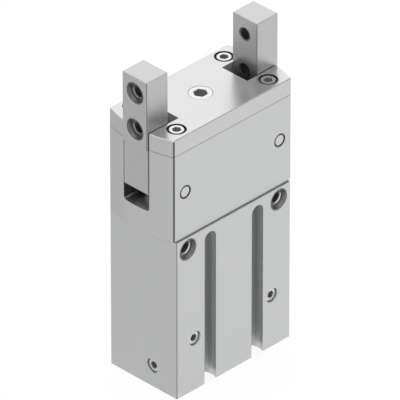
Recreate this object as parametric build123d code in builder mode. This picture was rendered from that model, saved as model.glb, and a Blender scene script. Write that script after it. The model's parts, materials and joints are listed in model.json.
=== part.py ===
from build123d import *
from math import cos, hypot, radians, sin
import os

# A pneumatic gripper whose two jaws swing outwards from the closed position.
# X runs from jaw to jaw, the front is -Y, Z is up and the origin is the centre of the base.
# The pieces stand as they do with the jaws closed, when the piston is at its lowest.
# All lengths are in millimetres and all angles in degrees.

# Outer form
body_width = 52.0
body_depth = 30.2
body_height = 59.8
body_edge_break = 0.25
housing_length = 58.8
housing_depth = 29.0
housing_height = 32.5
housing_end_radius = 39.0
housing_edge_break = 0.4
housing_foot_chamfer = 0.45
cover_foot_chamfer = 0.15
cover_height = 6.2
cover_edge_break = 0.3

# Jaws
pivot_from_end = 7.9
pivot_above_body = 17.4
pivot_pin_diameter = 5.0
jaw_width = 10.96
jaw_side_clearance = 0.25
jaw_swing = 90.0
finger_thickness = 9.55
finger_beyond_housing = 0.34
finger_above_cover = 19.1
finger_edge_break = 0.2
shank_step = 0.57
shank_step_below_cover = 0.2
shank_below_pivot = 2.7
heel_radius = 1.5
heel_clearance = 0.3
heel_corner_width = 0.5
heel_corner_height = 1.1
hub_radius = 6.0
bush_wall = 1.0

# Cam drive between the crosshead and the jaws
cam_arm = 10.5
stroke = 10.0
drive_pin_diameter = 4.0
cam_clearance = 0.08
cam_wall = 1.8
cam_points = 7
tongue_thickness = 5.0
tongue_side_clearance = 0.15
crosshead_height = 10.0
crosshead_wall = 2.0
crosshead_web_half = 5.2
crosshead_side_clearance = 0.1
crosshead_corner_radius = 1.5
rod_seat_depth = 3.0

# Cavity of the jaw housing, and the notches in its cover
window_corner_radius = 1.0
pocket_clearance = 0.5
notch_length = 13.86

# Tapped holes with a locating bore, on the jaws and for fixing the gripper
m5_diameter = 5.0
m5_core_diameter = 4.2
locating_bore_diameter = 7.2
locating_bore_depth = 1.8
locating_bore_chamfer = 0.35
finger_hole_spacing = 13.55
finger_hole_below_top = 6.1
mount_hole_from_side = 5.25
mount_hole_below_top = 4.6
mount_hole_depth = 9.0
base_hole_from_side = 6.0
base_hole_from_front = 5.1
base_hole_depth = 8.0

# Sensor slots
sensor_slot_x = 10.8
sensor_slot_mouth = 5.2
sensor_slot_width = 6.45
sensor_slot_depth = 4.9
sensor_slot_below_top = 2.3

# Cylinder bore, piston and rod
bore_diameter = 20.0
rod_diameter = 8.0
end_cap_z = 2.6
end_cap_height = 3.8
end_cap_rim = 0.5
end_cap_recess_diameter = 12.0
end_cap_recess_depth = 1.2
o_ring_section = 1.3
o_ring_groove_height = 1.6
ring_thickness = 1.0
ring_groove_depth = 0.8
ring_radial_width = 2.0
ring_gap = 6.5
ring_lug_radius = 1.7
ring_lug_hole_diameter = 1.4
bumper_height = 2.6
bumper_gap = 0.2
bumper_inner_diameter = 12.5
bumper_outer_diameter = 17.6
piston_height = 14.0
piston_clearance = 0.15
piston_spigot_diameter = 5.0
piston_nut_across_flats = 8.0
piston_nut_height = 3.0
piston_nut_recess_diameter = 9.8
piston_nut_recess_depth = 3.5
magnet_height = 3.0
magnet_inner_diameter = 15.0
magnet_inset = 0.3
seal_height = 3.2
seal_inner_diameter = 15.2
seal_from_face = 1.4
rod_bush_diameter = 11.0
rod_bush_height = 14.0
rod_seal_diameter = 14.0
rod_seal_height = 4.0
rod_hole_clearance = 0.3

# Air ports and ducts
duct_diameter = 2.5
duct_y = -3.9
lower_duct_z = 7.8
upper_duct_below_bore_top = 1.5
front_port_from_side = 8.3
front_port_z = 19.7
port_depth = 6.5
port_chamfer = 0.1
port_plug_length = 4.0
port_plug_socket = 2.5
port_plug_recess = 0.8
port_plug_chamfer = 0.5

# Screws, plugs and pins
m3_diameter = 3.0
m3_head_diameter = 5.5
m3_head_height = 3.0
m3_socket = 2.5
m3_counterbore_diameter = 6.6
screw_chamfer = 0.2
socket_depth_share = 0.6
m4_diameter = 4.0
m4_head_diameter = 7.0
m4_head_height = 4.0
m4_socket = 3.0
screw_hole_clearance = 0.2
cover_screw_from_end = 8.6
cover_screw_from_front = 4.6
cover_screw_recess = 0.05
cover_screw_length = 12.0
cover_plug_diameter = 8.07
cover_plug_length = 5.0
cover_plug_socket = 4.4
cover_plug_recess = 0.05
cover_plug_chamfer = 0.15
housing_screw_inner_x = 9.4
housing_screw_from_pivot = 5.7
housing_screw_length = 10.0
housing_screw_head_diameter = 5.6
countersink_angle = 90.0
housing_screw_socket = 2.0
crosshead_screw_length = 9.0
pivot_pin_inset = 0.1
pivot_pin_nose_diameter = 4.2
pivot_pin_nose_length = 1.0
drive_pin_chamfer = 0.25
dowel_diameter = 3.0
dowel_length = 8.0
dowel_from_front = 3.7
fit = 0.02
running_fit = 0.04
seat_clearance = 0.05

# Levels and places that follow from the sizes above
housing_top = body_height + housing_height
cover_top = housing_top + cover_height
jaw_top = cover_top + finger_above_cover
pivot_x = housing_length / 2 - pivot_from_end
pivot_z = body_height + pivot_above_body
jaw_slot_width = jaw_width + 2 * jaw_side_clearance
finger_outer_x = housing_length / 2 + finger_beyond_housing
finger_inner_x = finger_outer_x - finger_thickness
shank_outer_x = finger_outer_x - shank_step
shank_step_z = housing_top - shank_step_below_cover
shank_bottom = pivot_z - shank_below_pivot
heel_reach = heel_radius + hypot(shank_outer_x - pivot_x - heel_radius, shank_below_pivot - heel_radius)
shelf_z = pivot_z - heel_reach - heel_clearance
drive_pin_x = pivot_x - cam_arm
drive_pin_z = pivot_z - stroke / 2
cam_slot_radius = drive_pin_diameter / 2 + cam_clearance
lobe_radius = cam_slot_radius + cam_wall
pocket_floor = pivot_z - cam_arm - lobe_radius - pocket_clearance
tongue_lean = stroke / 2 / cam_arm
tongue_edge_x = pivot_x - (pivot_z - shelf_z) * tongue_lean + lobe_radius * hypot(1, tongue_lean)
pocket_half = tongue_edge_x + pocket_clearance
crosshead_z = drive_pin_z - crosshead_height / 2
crosshead_half = drive_pin_x + drive_pin_diameter / 2 + crosshead_wall
crosshead_width = jaw_slot_width - 2 * crosshead_side_clearance
rod_top = crosshead_z + rod_seat_depth
end_cap_top = end_cap_z + end_cap_height
end_cap_seat_diameter = bore_diameter + 2 * end_cap_rim
piston_z = end_cap_top + bumper_height + bumper_gap
piston_top = piston_z + piston_height
piston_middle = piston_z + piston_height / 2
bore_top = piston_top + stroke + bumper_gap + bumper_height
rod_seal_z = body_height - rod_seal_height
rod_bush_z = rod_seal_z - rod_bush_height
upper_duct_z = bore_top - upper_duct_below_bore_top
mount_hole_x = body_width / 2 - mount_hole_from_side
mount_hole_z = body_height - mount_hole_below_top
base_hole_x = body_width / 2 - base_hole_from_side
base_hole_y = body_depth / 2 - base_hole_from_front
front_port_x = body_width / 2 - front_port_from_side
finger_hole_z = jaw_top - finger_hole_below_top
slot_end_z = body_height - sensor_slot_below_top - sensor_slot_mouth / 2
ring_z = end_cap_z - ring_thickness - seat_clearance
ring_groove_diameter = end_cap_seat_diameter + 2 * ring_groove_depth
cover_screw_x = housing_length / 2 - cover_screw_from_end
cover_screw_y = housing_depth / 2 - cover_screw_from_front
cover_seat_z = cover_top - cover_screw_recess - m3_head_height
front_y = -body_depth / 2
housing_screw_x = (housing_screw_inner_x, pivot_x - housing_screw_from_pivot)
housing_screw_places = [(side * x, 0) for side in (-1, 1) for x in housing_screw_x]
dowel_y = housing_depth / 2 - dowel_from_front
dowel_places = [(0, -dowel_y), (0, dowel_y)]

os.makedirs("parts", exist_ok=True)


def save(part, label):
    """Labels a finished piece and writes it to a file of its own."""
    part.label = label
    export_step(part, f"parts/{label}.step")


def facing(origin, direction):
    """Gives the plane at a point of a surface, with its normal pointing out of the part."""
    return Plane(origin=origin, z_dir=direction)


def ring_section(inner_diameter, outer_diameter, bottom, height, mode=Mode.ADD):
    """Draws the half section of a ring in a sketch that stands on the axis."""
    with Locations(((inner_diameter + outer_diameter) / 4, bottom + height / 2)):
        Rectangle((outer_diameter - inner_diameter) / 2, height, mode=mode)


def housing_outline():
    """Draws the plan of the jaw housing and its cover, with both ends bowed outwards."""
    Rectangle(housing_length, housing_depth)
    for side in (-1, 1):
        with Locations((side * (housing_end_radius - housing_length / 2), 0)):
            Circle(housing_end_radius, mode=Mode.INTERSECT)


def locating_hole(depth):
    """Cuts a tapped hole with its locating bore and chamfer at the locations in force."""
    bore_radius = locating_bore_diameter / 2
    CounterBoreHole(m5_diameter / 2, bore_radius, locating_bore_depth, depth)
    Cone(
        bore_radius,
        bore_radius + locating_bore_chamfer,
        locating_bore_chamfer,
        align=(Align.CENTER, Align.CENTER, Align.MAX),
        mode=Mode.SUBTRACT,
    )


def port_hole(radius):
    """Cuts an air port with its chamfered mouth at the locations in force."""
    Hole(radius, port_depth)
    Cone(
        radius,
        radius + port_chamfer,
        port_chamfer,
        align=(Align.CENTER, Align.CENTER, Align.MAX),
        mode=Mode.SUBTRACT,
    )


def duct(start, direction, length):
    """Cuts a drilled air duct that runs from a point in one direction."""
    with Locations(Plane(origin=start, z_dir=direction)):
        Cylinder(
            duct_diameter / 2,
            length,
            align=(Align.CENTER, Align.CENTER, Align.MIN),
            mode=Mode.SUBTRACT,
        )


def cap_screw(diameter, head_diameter, head_height, socket, length):
    """Makes a socket head cap screw that hangs from the origin by the underside of its head."""
    with BuildPart() as screw:
        Cylinder(diameter / 2, length, align=(Align.CENTER, Align.CENTER, Align.MAX))
        Cylinder(head_diameter / 2, head_height, align=(Align.CENTER, Align.CENTER, Align.MIN))
        chamfer(screw.edges().group_by(Axis.Z)[-1], screw_chamfer)
        with BuildSketch(Plane.XY.offset(head_height)):
            RegularPolygon(socket / 2, 6, major_radius=False)
        extrude(amount=-head_height * socket_depth_share, mode=Mode.SUBTRACT)
    return screw.part


def set_screw(diameter, length, socket, end_chamfer):
    """Makes a headless screw that hangs from the origin by its outer end."""
    with BuildPart() as plug:
        Cylinder(diameter / 2, length, align=(Align.CENTER, Align.CENTER, Align.MAX))
        chamfer(plug.edges().group_by(Axis.Z)[-1], end_chamfer)
        with BuildSketch(Plane.XY):
            RegularPolygon(socket / 2, 6, major_radius=False)
        extrude(amount=-length * socket_depth_share, mode=Mode.SUBTRACT)
    return plug.part


def cam_path(turned, aside=0.0, ahead=0.0):
    """Gives the drive pin's place in the right jaw's own frame when the jaw has turned so far.

    The pin rises by the same amount for each degree of swing, so the path is curved.
    The point can lie aside from the path, or ahead of it along its tangent.
    """
    angle = radians(turned)
    rate = stroke / radians(jaw_swing)
    height = rate * angle - stroke / 2
    x = -cam_arm * cos(angle) - height * sin(angle)
    z = height * cos(angle) - cam_arm * sin(angle)
    along_x = (cam_arm - rate) * sin(angle) - height * cos(angle)
    along_z = (rate - cam_arm) * cos(angle) - height * sin(angle)
    speed = hypot(along_x, along_z)
    x += (aside * along_z + ahead * along_x) / speed
    z += (ahead * along_z - aside * along_x) / speed
    return (pivot_x + x, pivot_z + z)


# Cylinder body, with its bore, sensor slots, ports and fixing holes
with BuildPart() as cylinder_body:
    with BuildSketch(Plane.XY):
        Rectangle(body_width, body_depth)
    extrude(amount=body_height)
    chamfer(cylinder_body.edges().filter_by(Axis.Z), body_edge_break)

    # The bore steps in from the end cap's seat to the piston's bore and the rod's guide.
    with BuildSketch(Plane.XZ):
        ring_section(0, end_cap_seat_diameter, 0, end_cap_top)
        ring_section(0, ring_groove_diameter, ring_z, ring_thickness + seat_clearance)
        ring_section(0, bore_diameter, end_cap_top, bore_top - end_cap_top)
        ring_section(0, rod_diameter + 2 * rod_hole_clearance, bore_top, body_height - bore_top)
        ring_section(0, rod_bush_diameter, rod_bush_z, rod_bush_height)
        ring_section(0, rod_seal_diameter, rod_seal_z, rod_seal_height)
    revolve(axis=Axis.Z, mode=Mode.SUBTRACT)

    # Each sensor slot has bulging sides, and runs out at the base.
    half_mouth = sensor_slot_mouth / 2
    for side in (-1, 1):
        with BuildSketch(facing((side * sensor_slot_x, front_y, 0), (0, 0, 1))):
            with BuildLine():
                Line((-half_mouth, 0), (half_mouth, 0))
                ThreePointArc(
                    (half_mouth, 0),
                    (sensor_slot_width / 2, sensor_slot_depth / 2),
                    (half_mouth, sensor_slot_depth),
                )
                Line((half_mouth, sensor_slot_depth), (-half_mouth, sensor_slot_depth))
                ThreePointArc(
                    (-half_mouth, sensor_slot_depth),
                    (-sensor_slot_width / 2, sensor_slot_depth / 2),
                    (-half_mouth, 0),
                )
            make_face()
        extrude(amount=slot_end_z, mode=Mode.SUBTRACT)
        with BuildSketch(facing((side * sensor_slot_x, front_y, slot_end_z), (0, 0, 1))):
            with BuildLine():
                Polyline((half_mouth, 0), (0, 0), (0, sensor_slot_depth), (half_mouth, sensor_slot_depth))
                ThreePointArc(
                    (half_mouth, sensor_slot_depth),
                    (sensor_slot_width / 2, sensor_slot_depth / 2),
                    (half_mouth, 0),
                )
            make_face()
        revolve(axis=Axis((side * sensor_slot_x, 0, slot_end_z), (0, 1, 0)), mode=Mode.SUBTRACT)

    # Fixing holes right through from the front to the back, tapped at both ends, and four in the base
    for side in (-1, 1):
        for face in (-1, 1):
            with Locations(facing((side * mount_hole_x, face * body_depth / 2, mount_hole_z), (0, face, 0))):
                locating_hole(mount_hole_depth)
        with Locations(facing((side * mount_hole_x, front_y, mount_hole_z), (0, -1, 0))):
            Hole(m5_core_diameter / 2, body_depth)
    with Locations(facing((0, 0, 0), (0, 0, -1))):
        with GridLocations(2 * base_hole_x, 2 * base_hole_y, 2, 2):
            Hole(m4_diameter / 2, base_hole_depth)

    # Plugged ports on the front and the left end, and open supply ports on the right end
    for side in (-1, 1):
        with Locations(facing((side * front_port_x, front_y, front_port_z), (0, -1, 0))):
            port_hole(m5_diameter / 2 + fit)
    with Locations(facing((-body_width / 2, duct_y, lower_duct_z), (-1, 0, 0))):
        port_hole(m5_diameter / 2 + fit)
    for level in (lower_duct_z, upper_duct_z):
        with Locations(facing((body_width / 2, duct_y, level), (1, 0, 0))):
            port_hole(m5_diameter / 2)

    # The lower ducts serve the chamber under the piston, and the upper one the chamber above it.
    for side in (-1, 1):
        duct((side * body_width / 2, duct_y, lower_duct_z), (-side, 0, 0), body_width / 2 - bore_diameter / 4)
        duct((side * front_port_x, front_y, front_port_z), (0, 1, 0), duct_y - front_y)
    duct((body_width / 2, duct_y, upper_duct_z), (-1, 0, 0), body_width / 2 - bore_diameter / 4)
    duct((-front_port_x, duct_y, lower_duct_z), (0, 0, 1), front_port_z - lower_duct_z)
    duct((front_port_x, duct_y, front_port_z), (0, 0, 1), upper_duct_z - front_port_z)

    # Threads for the housing screws and seats for the dowels in the top face
    with Locations(Plane.XY.offset(body_height)):
        with Locations(*housing_screw_places):
            Hole(m3_diameter / 2 + fit, housing_screw_length)
        with Locations(*dowel_places):
            Hole(dowel_diameter / 2 + fit, dowel_length / 2 + seat_clearance)
save(cylinder_body.part, "cylinder_body")

# Jaw housing, a channel from end to end with a deeper pocket for the cams and the crosshead
with BuildPart() as jaw_housing:
    with BuildSketch(Plane.XY.offset(body_height)):
        housing_outline()
    extrude(amount=housing_height)
    chamfer(jaw_housing.edges().filter_by(Axis.Z), housing_edge_break)
    chamfer(jaw_housing.edges().group_by(Axis.Z)[0], housing_foot_chamfer)
    with BuildSketch(Plane.YZ):
        with BuildLine():
            Polyline(
                (-jaw_slot_width / 2, housing_top),
                (-jaw_slot_width / 2, shelf_z),
                (jaw_slot_width / 2, shelf_z),
                (jaw_slot_width / 2, housing_top),
                close=True,
            )
        make_face()
        fillet(vertices().group_by(Axis.Y)[0], window_corner_radius)
    extrude(amount=housing_length, both=True, mode=Mode.SUBTRACT)
    with BuildSketch(Plane.XY.offset(pocket_floor)):
        Rectangle(2 * pocket_half, jaw_slot_width)
    extrude(amount=housing_top - pocket_floor, mode=Mode.SUBTRACT)

    for side in (-1, 1):
        with Locations(facing((side * pivot_x, -housing_depth / 2, pivot_z), (0, -1, 0))):
            Hole(pivot_pin_diameter / 2 + fit, housing_depth)
    with Locations(Plane.XY.offset(pocket_floor)):
        Hole(rod_diameter / 2 + rod_hole_clearance, pocket_floor - body_height)
        with Locations(*housing_screw_places):
            CounterSinkHole(
                m3_diameter / 2 + screw_hole_clearance,
                housing_screw_head_diameter / 2 + screw_hole_clearance,
                pocket_floor - body_height,
                countersink_angle,
            )
    with Locations(facing((0, 0, body_height), (0, 0, -1))):
        with Locations(*dowel_places):
            Hole(dowel_diameter / 2 + fit, dowel_length / 2 + seat_clearance)
    with Locations(Plane.XY.offset(housing_top)):
        with GridLocations(2 * cover_screw_x, 2 * cover_screw_y, 2, 2):
            Hole(m3_diameter / 2 + fit, cover_screw_length - (cover_seat_z - housing_top) + seat_clearance)
save(jaw_housing.part, "jaw_housing")

# Cover plate, open at both ends for the jaws
with BuildPart() as cover_plate:
    with BuildSketch(Plane.XY.offset(housing_top)):
        housing_outline()
    extrude(amount=cover_height)
    chamfer(cover_plate.edges().filter_by(Axis.Z), housing_edge_break)
    chamfer(cover_plate.edges().group_by(Axis.Z)[0], cover_foot_chamfer)
    chamfer(cover_plate.edges().group_by(Axis.Z)[-1], cover_edge_break)
    with BuildSketch(Plane.XY.offset(housing_top)):
        with GridLocations(housing_length, 0, 2, 1):
            Rectangle(2 * notch_length, jaw_slot_width)
    extrude(amount=cover_height, mode=Mode.SUBTRACT)
    with Locations(Plane.XY.offset(cover_top)):
        Hole(cover_plug_diameter / 2 + fit, cover_height)
        with GridLocations(2 * cover_screw_x, 2 * cover_screw_y, 2, 2):
            CounterBoreHole(
                m3_diameter / 2 + screw_hole_clearance,
                m3_counterbore_diameter / 2,
                cover_screw_recess + m3_head_height,
                cover_height,
            )
save(cover_plate.part, "cover_plate")

# Right jaw, with its tapped holes, hub and cam tongue; the left jaw is its mirror image
with BuildPart() as right_jaw:
    with BuildSketch(Plane.XZ):
        with BuildLine():
            Polyline(
                (finger_inner_x, shank_bottom),
                (shank_outer_x, shank_bottom),
                (shank_outer_x, shank_step_z),
                (finger_outer_x, shank_step_z),
                (finger_outer_x, jaw_top),
                (finger_inner_x, jaw_top),
                close=True,
            )
        make_face()
        fillet(vertices().group_by(Axis.Y)[0].sort_by(Axis.X)[-1], heel_radius)
    extrude(amount=jaw_width / 2, both=True)
    chamfer(right_jaw.faces().sort_by(Axis.Z)[-1].edges(), finger_edge_break)
    long_edges = right_jaw.edges().filter_by(Axis.Z).sort_by(SortBy.LENGTH)[-6:]
    chamfer(long_edges, finger_edge_break)

    # The corners of the heel are cut back, to swing past the rounded corners of the channel.
    for face in (-1, 1):
        with BuildSketch(Plane.YZ.offset(finger_inner_x)):
            with BuildLine():
                Polyline(
                    (face * jaw_width / 2, shank_bottom),
                    (face * (jaw_width / 2 - heel_corner_width), shank_bottom),
                    (face * jaw_width / 2, shank_bottom + heel_corner_height),
                    close=True,
                )
            make_face()
        extrude(amount=finger_thickness, mode=Mode.SUBTRACT)
    with BuildSketch(Plane.XZ):
        with Locations((pivot_x, pivot_z)):
            Circle(hub_radius)
    extrude(amount=jaw_width / 2, both=True)
    with BuildSketch(Plane.XZ):
        with Locations((pivot_x, pivot_z), cam_path(0), cam_path(jaw_swing)):
            Circle(lobe_radius)
        make_hull()
    extrude(amount=tongue_thickness / 2, both=True)
    with BuildSketch(Plane.XZ):
        with Locations((pivot_x, pivot_z)):
            Circle(pivot_pin_diameter / 2 + bush_wall + fit)
    extrude(amount=jaw_width / 2, both=True, mode=Mode.SUBTRACT)
    with BuildSketch(Plane.XZ):
        steps = [jaw_swing * i / (cam_points - 1) for i in range(cam_points)]
        with BuildLine():
            Spline(*[cam_path(step, cam_slot_radius) for step in steps])
            ThreePointArc(
                cam_path(jaw_swing, cam_slot_radius),
                cam_path(jaw_swing, ahead=cam_slot_radius),
                cam_path(jaw_swing, -cam_slot_radius),
            )
            Spline(*[cam_path(step, -cam_slot_radius) for step in reversed(steps)])
            ThreePointArc(
                cam_path(0, -cam_slot_radius),
                cam_path(0, ahead=-cam_slot_radius),
                cam_path(0, cam_slot_radius),
            )
        make_face()
    extrude(amount=jaw_width / 2, both=True, mode=Mode.SUBTRACT)
    finger_hole_heights = (finger_hole_z, finger_hole_z - finger_hole_spacing)
    with Locations(*[facing((finger_outer_x, 0, height), (1, 0, 0)) for height in finger_hole_heights]):
        locating_hole(finger_thickness)
save(right_jaw.part, "right_jaw")

with BuildPart() as left_jaw:
    mirror(right_jaw.part, about=Plane.YZ)
save(left_jaw.part, "left_jaw")

# Pivot pins in the housing, and the bushes that turn on them with the jaws
for side, hand in ((-1, "left"), (1, "right")):
    with BuildPart() as pivot_pin:
        with Locations(Plane(origin=(side * pivot_x, 0, pivot_z), z_dir=(0, 1, 0))):
            Cylinder(pivot_pin_nose_diameter / 2, housing_depth - 2 * pivot_pin_inset)
            Cylinder(pivot_pin_diameter / 2, housing_depth - 2 * (pivot_pin_inset + pivot_pin_nose_length))
    save(pivot_pin.part, f"{hand}_pivot_pin")

    with BuildPart() as jaw_bush:
        with Locations(Plane(origin=(side * pivot_x, 0, pivot_z), z_dir=(0, 1, 0))):
            Cylinder(pivot_pin_diameter / 2 + bush_wall, jaw_width)
            Cylinder(pivot_pin_diameter / 2 + running_fit, jaw_width, mode=Mode.SUBTRACT)
    save(jaw_bush.part, f"{hand}_jaw_bush")

    with BuildPart() as drive_pin:
        with Locations(Plane(origin=(side * drive_pin_x, 0, drive_pin_z), z_dir=(0, 1, 0))):
            Cylinder(drive_pin_diameter / 2, crosshead_width)
        chamfer(drive_pin.edges().filter_by(GeomType.CIRCLE), drive_pin_chamfer)
    save(drive_pin.part, f"{hand}_drive_pin")

# Crosshead, a block on the rod with a fork at each end for the cam tongues
with BuildPart() as crosshead:
    with BuildSketch(Plane.XZ):
        with Locations((0, drive_pin_z)):
            RectangleRounded(2 * crosshead_half, crosshead_height, crosshead_corner_radius)
    extrude(amount=crosshead_width / 2, both=True)
    fork_length = crosshead_half - crosshead_web_half
    with BuildSketch(Plane.XY.offset(crosshead_z)):
        with GridLocations(2 * crosshead_web_half + 2 * fork_length, 0, 2, 1):
            Rectangle(2 * fork_length, tongue_thickness + 2 * tongue_side_clearance)
    extrude(amount=crosshead_height, mode=Mode.SUBTRACT)
    for side in (-1, 1):
        with Locations(facing((side * drive_pin_x, -crosshead_width / 2, drive_pin_z), (0, -1, 0))):
            Hole(drive_pin_diameter / 2 + fit, crosshead_width)
    with Locations(facing((0, 0, crosshead_z), (0, 0, -1))):
        Hole(rod_diameter / 2 + fit, rod_seat_depth)
    with Locations(Plane.XY.offset(crosshead_z + crosshead_height)):
        CounterBoreHole(
            m4_diameter / 2 + screw_hole_clearance,
            m4_head_diameter / 2 + screw_hole_clearance,
            m4_head_height,
            crosshead_height,
        )
save(crosshead.part, "crosshead")

# Piston rod, threaded at the top for the crosshead screw and stepped down for the piston
with BuildPart() as piston_rod:
    with BuildSketch(Plane.XZ):
        ring_section(0, rod_diameter, piston_top, rod_top - piston_top)
        ring_section(0, piston_spigot_diameter, piston_z + seat_clearance, piston_height)
    revolve(axis=Axis.Z)
    with Locations(Plane.XY.offset(rod_top)):
        Hole(m4_diameter / 2 + fit, crosshead_screw_length)
save(piston_rod.part, "piston_rod")

# The piston comes apart at its middle, where the magnet lies between its halves.
piston_diameter = bore_diameter - 2 * piston_clearance
lower_seal_z = piston_z + seal_from_face
upper_seal_z = piston_top - seal_from_face - seal_height
magnet_z = piston_middle - magnet_height / 2
for half, half_z, seal_z in (("lower", piston_z, lower_seal_z), ("upper", piston_middle, upper_seal_z)):
    with BuildPart() as piston_half:
        with BuildSketch(Plane.XZ):
            ring_section(piston_spigot_diameter + 2 * fit, piston_diameter, half_z, piston_height / 2)
            ring_section(seal_inner_diameter, bore_diameter, seal_z, seal_height, Mode.SUBTRACT)
            ring_section(magnet_inner_diameter, bore_diameter, magnet_z, magnet_height, Mode.SUBTRACT)
            ring_section(0, piston_nut_recess_diameter, piston_z, piston_nut_recess_depth, Mode.SUBTRACT)
        revolve(axis=Axis.Z)
    save(piston_half.part, f"piston_{half}_half")

with BuildPart() as piston_magnet:
    with BuildSketch(Plane.XZ):
        ring_section(
            magnet_inner_diameter + 2 * fit,
            piston_diameter - 2 * magnet_inset,
            magnet_z + seat_clearance,
            magnet_height - 2 * seat_clearance,
        )
    revolve(axis=Axis.Z)
save(piston_magnet.part, "piston_magnet")

# Two rubber seals in the grooves of the piston
with BuildPart() as piston_seals:
    with BuildSketch(Plane.XZ):
        for seal_z in (lower_seal_z, upper_seal_z):
            ring_section(
                seal_inner_diameter + 2 * fit,
                bore_diameter - 2 * running_fit,
                seal_z + seat_clearance,
                seal_height - 2 * seat_clearance,
            )
    revolve(axis=Axis.Z)
save(piston_seals.part, "piston_seals")

with BuildPart() as piston_nut:
    with BuildSketch(Plane.XY.offset(piston_z + piston_nut_recess_depth - piston_nut_height)):
        RegularPolygon(piston_nut_across_flats / 2, 6, major_radius=False)
        Circle(piston_spigot_diameter / 2 + fit, mode=Mode.SUBTRACT)
    extrude(amount=piston_nut_height)
save(piston_nut.part, "piston_nut")

# Rubber bumpers at both ends of the stroke
for place, bumper_z in (("lower", end_cap_top), ("upper", bore_top - bumper_height)):
    with BuildPart() as bumper:
        with BuildSketch(Plane.XZ):
            ring_section(bumper_inner_diameter, bumper_outer_diameter, bumper_z, bumper_height)
        revolve(axis=Axis.Z)
    save(bumper.part, f"{place}_bumper")

# Guide bush and seal of the rod
with BuildPart() as rod_bush:
    with BuildSketch(Plane.XZ):
        ring_section(
            rod_diameter + 2 * running_fit,
            rod_bush_diameter - 2 * fit,
            rod_bush_z,
            rod_bush_height - seat_clearance,
        )
    revolve(axis=Axis.Z)
save(rod_bush.part, "rod_bush")

with BuildPart() as rod_seal:
    with BuildSketch(Plane.XZ):
        ring_section(
            rod_diameter + 2 * running_fit,
            rod_seal_diameter - 2 * fit,
            rod_seal_z,
            rod_seal_height - seat_clearance,
        )
    revolve(axis=Axis.Z)
save(rod_seal.part, "rod_seal")

# End cap of the bore, with its seal ring and the retaining ring under it
end_cap_diameter = end_cap_seat_diameter - 2 * fit
o_ring_z = end_cap_z + end_cap_height / 2
with BuildPart() as end_cap:
    with BuildSketch(Plane.XZ):
        ring_section(0, end_cap_diameter, end_cap_z, end_cap_height - seat_clearance)
        ring_section(0, end_cap_recess_diameter, end_cap_z, end_cap_recess_depth, Mode.SUBTRACT)
        ring_section(
            end_cap_diameter - 2 * o_ring_section,
            end_cap_seat_diameter,
            o_ring_z - o_ring_groove_height / 2,
            o_ring_groove_height,
            Mode.SUBTRACT,
        )
    revolve(axis=Axis.Z)
save(end_cap.part, "end_cap")

with BuildPart() as end_cap_o_ring:
    with BuildSketch(Plane.XZ):
        with Locations((end_cap_diameter / 2 - o_ring_section / 2, o_ring_z)):
            RegularPolygon(o_ring_section / 2 - fit, 6, rotation=30)
    revolve(axis=Axis.Z)
save(end_cap_o_ring.part, "end_cap_o_ring")

ring_outer = ring_groove_diameter / 2 - seat_clearance
ring_inner = ring_outer - ring_radial_width
lug_x = ring_gap / 2 + ring_lug_radius
lug_y = -((ring_inner**2 - lug_x**2) ** 0.5)
with BuildPart() as retaining_ring:
    with BuildSketch(Plane.XY.offset(ring_z)):
        Circle(ring_outer)
        Circle(ring_inner, mode=Mode.SUBTRACT)
        with Locations((0, -ring_outer)):
            Rectangle(2 * lug_x, 2 * ring_radial_width + ring_lug_radius, mode=Mode.SUBTRACT)
        with Locations((-lug_x, lug_y), (lug_x, lug_y)):
            Circle(ring_lug_radius)
            Circle(ring_lug_hole_diameter / 2, mode=Mode.SUBTRACT)
    extrude(amount=ring_thickness)
save(retaining_ring.part, "retaining_ring")

# Fasteners and plugs; identical ones share a node
m3_cap_screw = cap_screw(m3_diameter, m3_head_diameter, m3_head_height, m3_socket, cover_screw_length)
with BuildPart() as cover_screws:
    with Locations(Plane.XY.offset(cover_seat_z)):
        with GridLocations(2 * cover_screw_x, 2 * cover_screw_y, 2, 2):
            add(m3_cap_screw)
save(cover_screws.part, "cover_screws")

m4_cap_screw = cap_screw(m4_diameter, m4_head_diameter, m4_head_height, m4_socket, crosshead_screw_length)
with BuildPart() as crosshead_screw:
    with Locations(Plane.XY.offset(crosshead_z + crosshead_height - m4_head_height)):
        add(m4_cap_screw)
save(crosshead_screw.part, "crosshead_screw")

housing_screw_head_z = pocket_floor - screw_hole_clearance + seat_clearance
housing_screw_head_height = (housing_screw_head_diameter - m3_diameter) / 2
with BuildPart() as flat_head_screw:
    Cylinder(m3_diameter / 2, housing_screw_length, align=(Align.CENTER, Align.CENTER, Align.MAX))
    Cone(
        m3_diameter / 2,
        housing_screw_head_diameter / 2,
        housing_screw_head_height,
        align=(Align.CENTER, Align.CENTER, Align.MAX),
    )
    with BuildSketch(Plane.XY):
        RegularPolygon(housing_screw_socket / 2, 6, major_radius=False)
    extrude(amount=-housing_screw_head_height, mode=Mode.SUBTRACT)
with BuildPart() as housing_screws:
    with Locations(Plane.XY.offset(housing_screw_head_z)):
        with Locations(*housing_screw_places):
            add(flat_head_screw.part)
save(housing_screws.part, "housing_screws")

with BuildPart() as cover_plug:
    with Locations(Plane.XY.offset(cover_top - cover_plug_recess)):
        add(set_screw(cover_plug_diameter, cover_plug_length, cover_plug_socket, cover_plug_chamfer))
save(cover_plug.part, "cover_plug")

port_plug = set_screw(m5_diameter, port_plug_length, port_plug_socket, port_plug_chamfer)
end_plug_x = port_plug_recess - body_width / 2
with BuildPart() as port_plugs:
    for side in (-1, 1):
        with Locations(facing((side * front_port_x, front_y + port_plug_recess, front_port_z), (0, -1, 0))):
            add(port_plug)
    with Locations(facing((end_plug_x, duct_y, lower_duct_z), (-1, 0, 0))):
        add(port_plug)
save(port_plugs.part, "port_plugs")

with BuildPart() as locating_dowels:
    with Locations(Plane.XY.offset(body_height)):
        with Locations(*dowel_places):
            Cylinder(dowel_diameter / 2, dowel_length)
save(locating_dowels.part, "locating_dowels")
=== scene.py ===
import json
import math

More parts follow.
